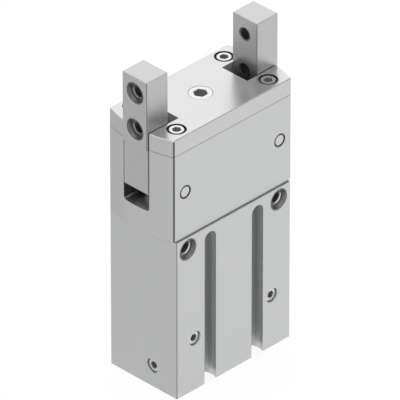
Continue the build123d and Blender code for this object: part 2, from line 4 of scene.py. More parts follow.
import bmesh
import bpy
from mathutils import Matrix, Vector


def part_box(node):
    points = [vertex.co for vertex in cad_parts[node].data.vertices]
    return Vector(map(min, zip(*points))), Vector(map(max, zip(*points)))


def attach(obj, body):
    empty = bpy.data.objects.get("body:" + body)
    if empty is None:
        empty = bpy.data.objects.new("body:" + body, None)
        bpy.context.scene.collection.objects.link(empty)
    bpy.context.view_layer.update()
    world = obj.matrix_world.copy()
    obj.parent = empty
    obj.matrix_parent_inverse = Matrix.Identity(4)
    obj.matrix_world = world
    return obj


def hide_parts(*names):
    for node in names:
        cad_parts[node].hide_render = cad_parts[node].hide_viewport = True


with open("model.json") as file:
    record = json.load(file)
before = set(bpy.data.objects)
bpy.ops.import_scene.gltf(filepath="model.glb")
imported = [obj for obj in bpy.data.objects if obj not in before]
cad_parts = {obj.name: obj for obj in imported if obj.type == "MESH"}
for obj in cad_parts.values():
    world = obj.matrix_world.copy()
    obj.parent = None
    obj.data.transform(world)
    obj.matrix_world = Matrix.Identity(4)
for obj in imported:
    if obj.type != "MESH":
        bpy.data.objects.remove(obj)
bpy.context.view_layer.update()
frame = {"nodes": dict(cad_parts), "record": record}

# A gripper with two steel jaws on a body of clear anodised aluminium.
# Lengths are in metres here, so sizes from the drawing are written as so many MM.
MM = 0.001

# Camera
CAMERA_AZIMUTH = math.radians(45.35)
CAMERA_ELEVATION = math.radians(32.87)
CAMERA_DISTANCE = 3282 * MM
CAMERA_LENS = 918.2
CAMERA_REACH = 20.0
SENSOR_WIDTH = 36.0
AIM_HEIGHT = 50 * MM
AIM_RIGHT = -0.135 * MM
AIM_UP = 6.461 * MM

# Light: name, place from the gripper's middle in metres, size in metres, power in watts
LAMPS = (
    ("right_softbox", (0.90, -0.90, 0.28), 0.60, 3.0),
    ("left_softbox", (-0.90, 0.90, 0.28), 0.60, 2.0),
    ("top_softbox", (0.0, 0.0, 1.20), 1.20, 2.2),
    ("back_softbox", (0.60, 0.59, 0.54), 0.90, 0.95),
)
AMBIENT = 0.45
FLOOR_TONE = 0.25
FLOOR_LIFT = 0.855
FLOOR_REACH = 3.0
FLOOR_DROP = 0.05 * MM

# Cards that show only in reflections
# On the floor: name, corner that it spreads from, direction and spread in degrees from the front, tone
# Upright: name, direction in degrees from the front, distance, height, tone
FLOOR_CARDS = (
    ("left_card", (-26.0 * MM, -15.1 * MM, 0.0), 137.0, 110.0, 0.78),
    ("far_left_card", (-26.0 * MM, 15.1 * MM, 0.3 * MM), 169.0, 46.0, 0.66),
)
CARD_LENGTH = 450 * MM
CARD_STEPS = 12
CARD_MERGE = 0.1 * MM
UPRIGHT_CARDS = (
    ("left_screen", 135.0, 620 * MM, 520 * MM, 0.70),
    ("right_screen", -45.0, 620 * MM, 600 * MM, 0.50),
)
SCREEN_WIDTH = 900 * MM

# Finishes: the grain's and the cloudy patches' noise detail, how fine the patches are, the grain's height
GRAIN_DETAIL = 3.0
CLOUD_DETAIL = 2.0
CLOUD_SCALE = 60.0
GRAIN_HEIGHT = 0.02 * MM

# Edges sharper than this stay sharp, seams nearer than this are closed
CREASE = math.radians(25)
THREAD_CREASE = math.radians(40)
SEAM_MERGE = 0.0005 * MM

# Threads: radius and pitch, and the ridge's measures as multiples of the pitch
M3 = (1.5 * MM, 0.5 * MM)
M4 = (2.0 * MM, 0.7 * MM)
M5 = (2.5 * MM, 0.8 * MM)
M8_FINE = (4.035 * MM, 1.0 * MM)
THREAD_DEPTH = 0.54
THREAD_FOOT = 0.36
THREAD_CREST = 0.11
THREAD_BURIED = 0.03 * MM
THREAD_STEPS = 28
THREAD_END_GAP = 0.02 * MM

# Lengths of the tapped holes' threads, and how far the air ports' stated points lie under their mouths
MOUNT_THREAD = 7.2 * MM
JAW_THREAD = 7.75 * MM
BASE_THREAD = 7.6 * MM
PORT_THREAD = 6.2 * MM
PORT_POINT_DEPTH = 3.0 * MM

# A direction whose share along a hole's axis is under this lies across the hole
ACROSS_SHARE = 0.5

# Threads of the holes that are open to view: name, body, finish, mounts, size, length, and how far their
# mouths lie above the stated points
FRONT_AND_BACK = ("front_mount_holes", "back_mount_holes")
TAPPED_THREADS = (
    ("mount_threads", "housing", "body_aluminium", FRONT_AND_BACK, M5, MOUNT_THREAD, 0),
    ("base_threads", "housing", "body_aluminium", ("base_mount_holes",), M4, BASE_THREAD, 0),
    ("port_threads", "housing", "body_aluminium", ("opening_air_port", "closing_air_port"), M5, PORT_THREAD,
     PORT_POINT_DEPTH),
    ("left_jaw_threads", "left_jaw", "jaw_steel", ("left_jaw_holes",), M5, JAW_THREAD, 0),
    ("right_jaw_threads", "right_jaw", "jaw_steel", ("right_jaw_holes",), M5, JAW_THREAD, 0),
)

# Bores that locate the gripper and its fingers: name of the body, finish, mounts
LOCATING_BORES = (
    ("housing", "body_aluminium", FRONT_AND_BACK),
    ("left_jaw", "jaw_steel", ("left_jaw_holes",)),
    ("right_jaw", "jaw_steel", ("right_jaw_holes",)),
)

# The bores' walls with the grooves that a tool leaves in them, and the lead-ins at their feet
BORE_RADIUS = 3.6 * MM
BORE_DEPTH = 1.8 * MM
BORE_LIP = 0.06 * MM
BORE_WALL = 0.13 * MM
BORE_GROOVES = 4
THREAD_WALL = 0.01 * MM
LEAD_IN_FOOT = 0.15 * MM
LEAD_IN_RIM = 0.04 * MM
LEAD_IN_REACH = 0.32 * MM
LEAD_IN_DEPTH = 0.34 * MM

# Notches of the cover, which the jaws swing through
NOTCH_INNER_X = 15.54 * MM
NOTCH_WIDTH = 11.46 * MM
NOTCH_LINING = 0.05 * MM
NOTCH_RIM = 0.25 * MM

# What finds the faces of a shell that are painted darker, as shade. Shares are of a face normal's length.
CHAMFER_SHARE = 0.5
UPRIGHT_SHARE = 0.1
FLAT_SHARE = 0.9
CORNER_X = 25.0 * MM
CORNER_DEPTH = 1.0 * MM
SEAM_HEIGHT = 0.2 * MM
CHANNEL_REACH = 7.0 * MM

# The sensor slots' faces start under the front face, and their sides bulge out of the stated openings
SLOT_START = 0.05 * MM
SLOT_BULGE = 0.6 * MM

# The broken rims of the pivot pins' ends
PIN_CHAMFER = 0.3 * MM
PIN_END = 0.01 * MM
RIM_ANGLE = 0.5

# Cover screws, M3 with a cylindrical head
SCREW_HEAD_RADIUS = 2.75 * MM
SCREW_HEAD_HEIGHT = 3.0 * MM
SCREW_HEAD_CHAMFER = 0.36 * MM
SCREW_SOCKET = 1.42 * MM
SCREW_SOCKET_DEPTH = 2.0 * MM

# Plugs, headless with a hexagon socket; the last two are shares of the plug's length and the socket's width
COVER_PLUG_CHAMFER = 0.15 * MM
COVER_PLUG_SOCKET = 2.2 * MM
PORT_PLUG_LENGTH = 4.0 * MM
PORT_PLUG_CHAMFER = 0.22 * MM
PORT_PLUG_SOCKET = 1.25 * MM
SOCKET_WALL = 0.06 * MM
SOCKET_LIP = 0.05 * MM
PLUG_SOCKET_DEPTH = 0.6
SOCKET_POINT = 0.3

# Segments of a full turn on a small fastener; a multiple of six, for the sockets
FASTENER_SEGMENTS = 72


def studio():
    """Sets the view transform and sets up all that the gripper is seen with."""
    scene = bpy.context.scene
    scene.view_settings.view_transform = "Standard"
    centre = Vector((0, 0, AIM_HEIGHT))
    place_camera(scene, centre)
    place_lamps(scene, centre)
    light_world(scene)
    lay_floor(scene)
    for card in FLOOR_CARDS:
        lay_card(*card)
    for card in UPRIGHT_CARDS:
        stand_card(*card)


def place_camera(scene, centre):
    """Places the camera where the photograph was taken from."""
    back = Vector((
        -math.sin(CAMERA_AZIMUTH) * math.cos(CAMERA_ELEVATION),
        -math.cos(CAMERA_AZIMUTH) * math.cos(CAMERA_ELEVATION),
        math.sin(CAMERA_ELEVATION),
    ))
    right = Vector((math.cos(CAMERA_AZIMUTH), -math.sin(CAMERA_AZIMUTH), 0))
    up = back.cross(right)
    aim = centre + right * AIM_RIGHT + up * AIM_UP
    camera = bpy.data.objects.new("camera", bpy.data.cameras.new("camera"))
    camera.data.lens = CAMERA_LENS
    camera.data.sensor_width = SENSOR_WIDTH
    camera.data.clip_end = CAMERA_REACH
    turn = Matrix((right, up, back)).transposed().to_4x4()
    camera.matrix_world = Matrix.Translation(aim + back * CAMERA_DISTANCE) @ turn
    scene.collection.objects.link(camera)
    scene.camera = camera


def place_lamps(scene, centre):
    """Places the soft lamps, each turned to the gripper's middle."""
    for name, place, size, power in LAMPS:
        lamp = bpy.data.objects.new(name, bpy.data.lights.new(name, "AREA"))
        lamp.data.size = size
        lamp.data.energy = power
        lamp.location = centre + Vector(place)
        lamp.rotation_euler = (-Vector(place)).to_track_quat("-Z", "Y").to_euler()
        scene.collection.objects.link(lamp)


def light_world(scene):
    """Makes the world white where it is seen, and dimmer as a light."""
    world = bpy.data.worlds.new("studio")
    world.use_nodes = True
    scene.world = world
    nodes, links = world.node_tree.nodes, world.node_tree.links
    background = nodes["Background"]
    background.inputs["Color"].default_value = (1, 1, 1, 1)
    links.new(seen_or_plain(nodes, links, 1.0, AMBIENT), background.inputs["Strength"])


def lay_floor(scene):
    """Lays the white floor just under the gripper's base."""
    bm = bmesh.new()
    bmesh.ops.create_grid(bm, x_segments=1, y_segments=1, size=FLOOR_REACH)
    bmesh.ops.translate(bm, verts=bm.verts, vec=(0, 0, -FLOOR_DROP))
    mesh = bpy.data.meshes.new("floor")
    bm.to_mesh(mesh)
    bm.free()
    floor = bpy.data.objects.new("floor", mesh)
    scene.collection.objects.link(floor)
    mesh.materials.append(white_floor())


def lay_card(name, corner, direction, spread, tone):
    """Lays a card on the floor that fans out from a corner."""
    fan = math.radians(spread)
    bm = bmesh.new()
    ends = [bm.verts.new((0, 0, 0)), bm.verts.new((0, -CARD_LENGTH, 0))]
    edge = bm.edges.new(ends)
    first = Matrix.Rotation(fan / 2 - math.radians(direction), 3, "Z")
    bmesh.ops.rotate(bm, verts=ends, matrix=first)
    bmesh.ops.spin(bm, geom=ends + [edge], axis=(0, 0, 1), angle=-fan, steps=CARD_STEPS)
    bmesh.ops.remove_doubles(bm, verts=bm.verts, dist=CARD_MERGE)
    bmesh.ops.translate(bm, verts=bm.verts, vec=corner)
    hang_card(name, bm, tone)


def stand_card(name, direction, distance, height, tone):
    """Stands a card on the floor that faces the gripper."""
    bm = bmesh.new()
    bmesh.ops.create_grid(bm, x_segments=1, y_segments=1, size=0.5)
    bmesh.ops.scale(bm, verts=bm.verts, vec=(SCREEN_WIDTH, height, 1))
    turn = Matrix.Rotation(math.radians(-direction), 4, "Z")
    stand = turn @ Matrix.Translation((0, -distance, height / 2)) @ Matrix.Rotation(math.pi / 2, 4, "X")
    bmesh.ops.transform(bm, verts=bm.verts, matrix=stand)
    hang_card(name, bm, tone)


def hang_card(name, bm, tone):
    """Sets up a card that shows only in reflections, in one plain tone."""
    mesh = bpy.data.meshes.new(name)
    bm.to_mesh(mesh)
    bm.free()
    card = bpy.data.objects.new(name, mesh)
    bpy.context.scene.collection.objects.link(card)
    card.visible_camera = False
    card.visible_diffuse = False
    card.visible_shadow = False
    material = bpy.data.materials.new(name)
    material.use_nodes = True
    shader = material.node_tree.nodes["Principled BSDF"]
    shader.inputs["Base Color"].default_value = (0, 0, 0, 1)
    shader.inputs["Specular IOR Level"].default_value = 0
    shader.inputs["Emission Color"].default_value = (1, 1, 1, 1)
    shader.inputs["Emission Strength"].default_value = tone
    mesh.materials.append(material)


def seen_or_plain(nodes, links, seen_level, plain_level):
    """Gives one level where the camera, a reflection or a refraction looks, and another elsewhere."""
    path = nodes.new("ShaderNodeLightPath")
    seen = path.outputs["Is Camera Ray"]
    for other in ("Is Glossy Ray", "Is Transmission Ray"):
        either = nodes.new("ShaderNodeMath")
        either.operation = "MAXIMUM"
        links.new(seen, either.inputs[0])
        links.new(path.outputs[other], either.inputs[1])
        seen = either.outputs[0]
    level = nodes.new("ShaderNodeMapRange")
    level.inputs["To Min"].default_value = plain_level
    level.inputs["To Max"].default_value = seen_level
    links.new(seen, level.inputs["Value"])
    return level.outputs["Result"]


def white_floor():
    """Makes a pale matt floor that takes shadows, lifted to white where it is seen."""
    material = bpy.data.materials.new("white_floor")
    material.use_nodes = True
    nodes, links = material.node_tree.nodes, material.node_tree.links
    nodes.remove(nodes["Principled BSDF"])
    matt = nodes.new("ShaderNodeBsdfDiffuse")
    matt.inputs["Color"].default_value = (FLOOR_TONE, FLOOR_TONE, FLOOR_TONE, 1)
    lift = nodes.new("ShaderNodeEmission")
    links.new(seen_or_plain(nodes, links, FLOOR_LIFT, 0.0), lift.inputs["Strength"])
    both = nodes.new("ShaderNodeAddShader")
    links.new(matt.outputs[0], both.inputs[0])
    links.new(lift.outputs[0], both.inputs[1])
    links.new(both.outputs[0], nodes["Material Output"].inputs["Surface"])
    return material


def metal(name, colour, metallic, roughness, grain=(900, 900, 900), spread=0.02, bump=0.02, patchy=0.06):
    """Makes a metal finish with a fine grain, which is drawn out along the axes with a low frequency."""
    material = bpy.data.materials.new(name)
    material.use_nodes = True
    nodes, links = material.node_tree.nodes, material.node_tree.links
    shader = nodes["Principled BSDF"]
    shader.inputs["Metallic"].default_value = metallic
    place = nodes.new("ShaderNodeTexCoord")
    mapping = nodes.new("ShaderNodeMapping")
    mapping.inputs["Scale"].default_value = grain
    links.new(place.outputs["Object"], mapping.inputs["Vector"])
    fine = nodes.new("ShaderNodeTexNoise")
    fine.inputs["Scale"].default_value = 1.0
    fine.inputs["Detail"].default_value = GRAIN_DETAIL
    links.new(mapping.outputs["Vector"], fine.inputs["Vector"])
    cloudy = nodes.new("ShaderNodeTexNoise")
    cloudy.inputs["Scale"].default_value = CLOUD_SCALE
    cloudy.inputs["Detail"].default_value = CLOUD_DETAIL
    links.new(place.outputs["Object"], cloudy.inputs["Vector"])

    tone = nodes.new("ShaderNodeMix")
    tone.data_type = "RGBA"
    tone.inputs["A"].default_value = [channel * (1 - spread) for channel in colour] + [1]
    tone.inputs["B"].default_value = [min(1, channel * (1 + spread)) for channel in colour] + [1]
    links.new(fine.outputs["Fac"], tone.inputs["Factor"])
    links.new(tone.outputs["Result"], shader.inputs["Base Color"])
    rough = nodes.new("ShaderNodeMapRange")
    rough.inputs["To Min"].default_value = roughness - patchy
    rough.inputs["To Max"].default_value = roughness + patchy
    links.new(cloudy.outputs["Fac"], rough.inputs["Value"])
    links.new(rough.outputs["Result"], shader.inputs["Roughness"])
    relief = nodes.new("ShaderNodeBump")
    relief.inputs["Strength"].default_value = bump
    relief.inputs["Distance"].default_value = GRAIN_HEIGHT
    links.new(fine.outputs["Fac"], relief.inputs["Height"])
    links.new(relief.outputs["Normal"], shader.inputs["Normal"])
    return material


def rubber(name, colour, roughness):
    """Makes a moulded rubber or plastic with a faint grain."""
    return metal(name, colour, 0.0, roughness, grain=(2500, 2500, 2500), spread=0.12, bump=0.1)


FINISHES = {
    "body_aluminium": metal("body_aluminium", (0.572, 0.582, 0.577), 1.0, 0.34, bump=0.03),
    "cover_aluminium": metal("cover_aluminium", (0.575, 0.58, 0.577), 1.0, 0.26, bump=0.02),
    "cap_aluminium": metal("cap_aluminium", (0.55, 0.55, 0.56), 1.0, 0.32),
    "piston_aluminium": metal("piston_aluminium", (0.62, 0.62, 0.63), 1.0, 0.30),
    "jaw_steel": metal("jaw_steel", (0.495, 0.50, 0.495), 1.0, 0.33, grain=(1600, 1600, 160), bump=0.04),
    "crosshead_steel": metal("crosshead_steel", (0.40, 0.40, 0.41), 1.0, 0.35, grain=(200, 1600, 1600)),
    "rod_steel": metal("rod_steel", (0.62, 0.62, 0.64), 1.0, 0.14, spread=0.01, patchy=0.03),
    "pin_steel": metal("pin_steel", (0.60, 0.60, 0.61), 1.0, 0.25, grain=(2400, 500, 2400)),
    "screw_steel": metal("screw_steel", (0.66, 0.66, 0.67), 1.0, 0.22, spread=0.03),
    "ring_steel": metal("ring_steel", (0.10, 0.10, 0.105), 1.0, 0.40, spread=0.10),
    "bush_bronze": metal("bush_bronze", (0.45, 0.31, 0.16), 1.0, 0.38, spread=0.08),
    "seal_rubber": rubber("seal_rubber", (0.025, 0.025, 0.025), 0.55),
    "magnet_plastic": rubber("magnet_plastic", (0.07, 0.07, 0.075), 0.60),
}

# Copies of the metals for where a tool has cut a hole, rougher than the faces around them. The copies on the
# walls of holes, sockets and threads are darker: painted shade in the hollows. The cover's copy for its
# milled notch walls is a little paler and half matt: painted light in the notches.
HOLLOW_SHADE_AND_LIGHT = {
    "body_aluminium": metal("shaded_hole_aluminium", (0.25, 0.255, 0.25), 1.0, 0.40, spread=0.06),
    "cover_aluminium": metal("milled_lit_aluminium", (0.62, 0.625, 0.62), 0.4, 0.60, spread=0.05),
    "jaw_steel": metal("shaded_hole_steel", (0.21, 0.215, 0.21), 1.0, 0.36, spread=0.06),
    "screw_steel": metal("shaded_socket_steel", (0.46, 0.46, 0.465), 1.0, 0.55, spread=0.06),
}
# Near-black copies of the metals for linings at the roots of the tapped threads: painted shade deep in the
# holes
ROOT_SHADE_FINISHES = {
    "body_aluminium": metal("root_shade_aluminium", (0.07, 0.07, 0.07), 1.0, 0.45, spread=0.08),
    "jaw_steel": metal("root_shade_steel", (0.06, 0.06, 0.06), 1.0, 0.45, spread=0.08),
}


def dress_nodes():
    """Gives every node of the frame the finish that its slot names."""
    for part in frame["record"]["subparts"]:
        node = frame["nodes"][part["node"]]
        node.data.materials.clear()
        node.data.materials.append(FINISHES[part["material_slot"]])


def keep(name, bm, body, slot, node=None, finishes=FINISHES):
    """Makes a piece from a finished bmesh, hangs it on the body that it rides on, gives it its finish and
    hides the node that it stands for.
    """
    mesh = bpy.data.meshes.new(name)
    bm.to_mesh(mesh)
    bm.free()
    mesh.materials.append(finishes[slot])
    piece = bpy.data.objects.new(name, mesh)
    bpy.context.scene.collection.objects.link(piece)
    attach(piece, body)
    if node:
        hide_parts(node)
    return piece


def shade_by_angle(bm, crease=CREASE):
    """Shades a form smoothly apart from its sharp edges."""
    for face in bm.faces:
        face.smooth = True
    for edge in bm.edges:
        edge.smooth = len(edge.link_faces) == 2 and edge.calc_face_angle(0) < crease


def shell_of(node, body, slot):
    """Copies a node's surface, closes its seams and shades its curved faces smoothly."""
    bm = bmesh.new()
    bm.from_mesh(frame["nodes"][node].data)
    bmesh.ops.remove_doubles(bm, verts=bm.verts, dist=SEAM_MERGE)
    # The faces that get painted shade are found before the shading and given the darker finishes
    painted_shades = [(finish, find(bm)) for finish, find in SHELL_PAINTED_SHADE.get(node, ())]
    shade_by_angle(bm)
    for index, (finish, faces) in enumerate(painted_shades, 1):
        for face in faces:
            face.material_index = index
    shell = keep(node + "_shell", bm, body, slot, node)
    for finish, faces in painted_shades:
        shell.data.materials.append(finish)
    shell.modifiers.new("flat_faces", "WEIGHTED_NORMAL").keep_sharp = True


def upright_chamfers(bm):
    """Finds the chamfers that go up the outer edges of a form."""
    depth = max(abs(vert.co.y) for vert in bm.verts)
    return [
        face
        for face in bm.faces
        if min(abs(face.normal.x), abs(face.normal.y)) > CHAMFER_SHARE
        and abs(face.normal.z) < UPRIGHT_SHARE
        and abs(face.calc_center_median().y) > depth - CORNER_DEPTH
    ]


def corner_chamfers(bm):
    """Finds the chamfers that go up the four corners of a block."""
    return [face for face in upright_chamfers(bm) if abs(face.calc_center_median().x) > CORNER_X]


def seam_chamfer_shadow(bm):
    """Finds the chamfer round the foot of a block, which gets a painted shadow."""
    foot = min(vert.co.z for vert in bm.verts)
    return [
        face
        for face in bm.faces
        if CHAMFER_SHARE < -face.normal.z < FLAT_SHARE
        and face.calc_center_median().z < foot + SEAM_HEIGHT
    ]


def sensor_slots(bm):
    """Finds the faces of a block that lie in the openings stated for the sensors, which get painted shade.
    """
    boxes = [item["box_m"] for item in frame["record"]["physics"]["openings"] if "sensor" in item["name"]]
    found = []
    for face in bm.faces:
        centre = face.calc_center_median()
        for low, high in boxes:
            near = [low[i] - SLOT_BULGE < centre[i] < high[i] + SLOT_BULGE for i in range(3)]
            if all(near) and centre.y > low[1] + SLOT_START:
                found.append(face)
    return found


def channel_walls(bm):
    """Finds the side walls of the channel that the jaws move in, which get painted shade."""
    return [
        face
        for face in bm.faces
        if abs(face.normal.y) > FLAT_SHARE and abs(face.calc_center_median().y) < CHANNEL_REACH
    ]


def broken_ends(bm):
    """Breaks the rims at the two ends of a pin that lies along the Y axis, and finds the new faces, which
    get painted shade.
    """
    reach = max(abs(vert.co.y) for vert in bm.verts)
    rims = [
        edge
        for edge in bm.edges
        if min(abs(vert.co.y) for vert in edge.verts) > reach - PIN_END
        and edge.calc_face_angle(0) > RIM_ANGLE
    ]
    return bmesh.ops.bevel(bm, geom=rims, offset=PIN_CHAMFER, segments=1, affect="EDGES")["faces"]


# Darker copies of the metals: painted shade on the chamfers up the corners, on the seam, in the sensor
# slots, in the jaws' channel and on the pins' rims
BODY_CHAMFER_SHADE = metal("body_chamfer_shade", (0.25, 0.255, 0.25), 1.0, 0.38)
HOUSING_CHAMFER_SHADE = metal("housing_chamfer_shade", (0.125, 0.13, 0.125), 1.0, 0.38)
SEAM_CHAMFER_SHADOW = metal("seam_chamfer_shadow", (0.16, 0.165, 0.16), 1.0, 0.38)
JAW_CHAMFER_SHADE = metal("jaw_chamfer_shade", (0.18, 0.185, 0.18), 1.0, 0.38)
STEEL_RIM_SHADE = metal("steel_rim_shade", (0.10, 0.10, 0.10), 1.0, 0.38)
SLOT_SHADE = metal("slot_shade_aluminium", (0.49, 0.498, 0.494), 1.0, 0.36)
CHANNEL_SHADE = metal("channel_shade_aluminium", (0.18, 0.185, 0.18), 1.0, 0.42)

# Nodes whose surfaces are kept, smoothly shaded, with the body they ride on and their finish
SHELLS = (
    ("cylinder_body", "housing", "body_aluminium"),
    ("jaw_housing", "housing", "body_aluminium"),
    ("cover_plate", "housing", "cover_aluminium"),
    ("left_jaw", "left_jaw", "jaw_steel"),
    ("right_jaw", "right_jaw", "jaw_steel"),
    ("left_pivot_pin", "housing", "pin_steel"),
    ("right_pivot_pin", "housing", "pin_steel"),
)

# Where a shell has faces painted darker than the rest, as painted shade on the corner chamfers, the seam,
# the sensor slots, the jaws' channel and the pins' rims: the darker finish, and what finds them
SHELL_PAINTED_SHADE = {
    "cylinder_body": ((BODY_CHAMFER_SHADE, corner_chamfers), (SLOT_SHADE, sensor_slots)),
    "jaw_housing": ((HOUSING_CHAMFER_SHADE, corner_chamfers), (CHANNEL_SHADE, channel_walls)),
    "cover_plate": ((HOUSING_CHAMFER_SHADE, corner_chamfers), (SEAM_CHAMFER_SHADOW, seam_chamfer_shadow)),
    "left_jaw": ((JAW_CHAMFER_SHADE, upright_chamfers),),
    "right_jaw": ((JAW_CHAMFER_SHADE, upright_chamfers),),
    "left_pivot_pin": ((STEEL_RIM_SHADE, broken_ends),),
    "right_pivot_pin": ((STEEL_RIM_SHADE, broken_ends),),
}


def facing(origin, direction):
    """Gives the matrix that puts the Z axis on a direction at a point."""
    turn = Vector(direction).to_track_quat("Z", "Y").to_matrix().to_4x4()
    return Matrix.Translation(Vector(origin)) @ turn


def on_hexagon(angle):
    """Gives how far a hexagon reaches at an angle, as a multiple of its half width across flats."""
    sixth = math.pi / 3
    return 1 / math.cos((angle % sixth) - sixth / 2)


def shape_ring(verts, ring):
    """Moves the points of one ring to its radius and height, on a circle or a hexagon."""
    radius, height = ring[:2]
    for vert in verts:
        angle = math.atan2(vert.co.y, vert.co.x)
        reach = radius * (on_hexagon(angle) if len(ring) == 3 else 1)
        vert.co = Vector((math.cos(angle) * reach, math.sin(angle) * reach, height))


def lathe(rings, segments=FASTENER_SEGMENTS):
    """Builds a closed turned form up the Z axis from rings of (radius, height).

    A ring with the word hexagon after its height is a hexagon. Flat faces close the first and the last ring.
    """
    bm = bmesh.new()
    verts = bmesh.ops.create_circle(bm, cap_ends=True, segments=segments, radius=1.0)["verts"]
    edges = bm.edges[:]
    shape_ring(verts, rings[0])
    for ring in rings[1:]:
        geometry = bmesh.ops.extrude_edge_only(bm, edges=edges)["geom"]
        verts = [item for item in geometry if isinstance(item, bmesh.types.BMVert)]
        edges = [item for item in geometry if isinstance(item, bmesh.types.BMEdge)]
        edges = [edge for edge in edges if edge.verts[0] in verts and edge.verts[1] in verts]
        shape_ring(verts, ring)
    bmesh.ops.edgeloop_fill(bm, edges=edges)
    bmesh.ops.recalc_face_normals(bm, faces=bm.faces)
    return bm


def outline(bm, section):
    """Lays a closed outline through (radius, height) points beside the Z axis."""
    corners = [bm.verts.new((across, 0, level)) for across, level in section]
    return corners + [bm.edges.new((corners[i], corners[i - 1])) for i in range(len(section))]


def helix(section, pitch, turns):
    """Winds a closed section up the Z axis from the height at which it starts."""
    bm = bmesh.new()
    steps = int(THREAD_STEPS * turns)
    bmesh.ops.spin(
        bm,
        geom=outline(bm, section),
        cent=(0, 0, 0),
        axis=(0, 0, 1),
        dvec=(0, 0, turns * pitch / steps),
        angle=2 * math.pi * turns,
        steps=steps,
    )
    bmesh.ops.holes_fill(bm, edges=bm.edges, sides=len(section))
    return bm


def thread_ridge(buried, crest, level, pitch):
    """Gives the section of a thread's ridge, from its buried foot to its crest, about a level."""
    foot, tip = THREAD_FOOT * pitch, THREAD_CREST * pitch
    return [(buried, level - foot), (crest, level - tip), (crest, level + tip), (buried, level + foot)]


def inner_thread(size, length):
    """Winds the thread of a tapped hole down from the XY plane, cut off flat at both ends."""
    radius, pitch = size
    root, crest = radius + THREAD_BURIED, radius - THREAD_DEPTH * pitch
    start = -length - pitch / 2
    bm = helix(thread_ridge(root, crest, start, pitch), pitch, length / pitch + 1)
    for level, outwards in ((-THREAD_END_GAP, 1), (THREAD_END_GAP - length, -1)):
        cut = bmesh.ops.bisect_plane(
            bm,
            geom=bm.verts[:] + bm.edges[:] + bm.faces[:],
            plane_co=(0, 0, level),
            plane_no=(0, 0, outwards),
            clear_outer=True,
        )["geom_cut"]
        bmesh.ops.edgeloop_fill(bm, edges=[item for item in cut if isinstance(item, bmesh.types.BMEdge)])
    bmesh.ops.recalc_face_normals(bm, faces=bm.faces)
    return bm


def outer_thread(size, length):
    """Winds the thread of a shank down from the XY plane, fading out at both ends."""
    radius, pitch = size
    core = radius - THREAD_DEPTH * pitch
    foot = THREAD_FOOT * pitch
    ridge = thread_ridge(core - THREAD_BURIED, radius, foot - length, pitch)
    bm = helix(ridge, pitch, (length - 2 * foot) / pitch)
    for vert in bm.verts:
        across = vert.co.xy.length
        room = max(0.0, min(-vert.co.z, vert.co.z + length))
        vert.co.xy *= min(across, core + room) / across
    bmesh.ops.recalc_face_normals(bm, faces=bm.faces)
    return bm


def turned_ring(section):
    """Turns a closed section once round the Z axis."""
    bm = bmesh.new()
    bmesh.ops.spin(
        bm,
        geom=outline(bm, section),
        cent=(0, 0, 0),
        axis=(0, 0, 1),
        angle=2 * math.pi,
        steps=FASTENER_SEGMENTS,
        use_merge=True,
    )
    bmesh.ops.recalc_face_normals(bm, faces=bm.faces)
    return bm


def gather(target, source, places):
    """Adds copies of a form to another one, at each place, and drops the form."""
    mesh = bpy.data.meshes.new("gathered")
    source.to_mesh(mesh)
    source.free()
    for place in places:
        before = len(target.verts)
        target.from_mesh(mesh)
        target.verts.ensure_lookup_table()
        bmesh.ops.transform(target, matrix=place, verts=target.verts[before:])
    bpy.data.meshes.remove(mesh)


def hole_places(name):
    """Gives the matrices that stand at the stated points of a mount's holes, looking out of them."""
    item = next(item for item in frame["record"]["mounts"] if item["name"] == name)
    middle, axis, dims = Vector(item["pos_m"]), Vector(item["axis"]), item["dims"]
    across = [unit for unit in Matrix.Identity(3) if abs(unit.dot(axis)) < ACROSS_SHARE]
    half = [dims.get(key, 0) * MM / 2 for key in ("spacing_x_mm", "spacing_y_mm")]
    places = {
        tuple(middle + across[0] * half[0] * i + across[1] * half[1] * j)
        for i in (-1, 1)
        for j in (-1, 1)
    }
    return [facing(place, axis) for place in sorted(places)]


def socket_rings(top, half_flats, depth):
    """Gives the rings of a hexagon hole that goes down from a flat top."""
    return [(half_flats, top, "hexagon"), (half_flats, top - depth, "hexagon")]


def socket_shade_lining(half_flats, depth):
    """Builds a lining for the walls and floor of a hexagon socket, as a cup that hangs from the XY plane;
    its darker finish paints the socket's shade.
    """
    inner, low = half_flats - SOCKET_WALL, SOCKET_WALL - depth
    return lathe([
        (half_flats + THREAD_BURIED, -depth - THREAD_BURIED, "hexagon"),
        (half_flats + THREAD_BURIED, -SOCKET_LIP, "hexagon"),
        (half_flats - SOCKET_LIP, -SOCKET_LIP, "hexagon"),
        (inner, -SOCKET_LIP - SOCKET_WALL, "hexagon"),
        (inner, low, "hexagon"),
        (half_flats * SOCKET_POINT, low - SOCKET_WALL),
    ])


def headless_screw(size, length, chamfer, half_flats):
    """Builds a threaded plug that hangs from the origin by its outer end, with a socket in that end."""
    radius, pitch = size
    core = radius - THREAD_DEPTH * pitch
    socket = socket_rings(0, half_flats, length * PLUG_SOCKET_DEPTH)
    bm = lathe([
        (core - chamfer, -length),
        (core, chamfer - length),
        (core, -chamfer - radius + core),
        (radius - chamfer, 0),
    ] + socket)
    shade_by_angle(bm)
    gather(bm, outer_thread(size, length - chamfer), [Matrix.Translation((0, 0, -chamfer))])
    return bm


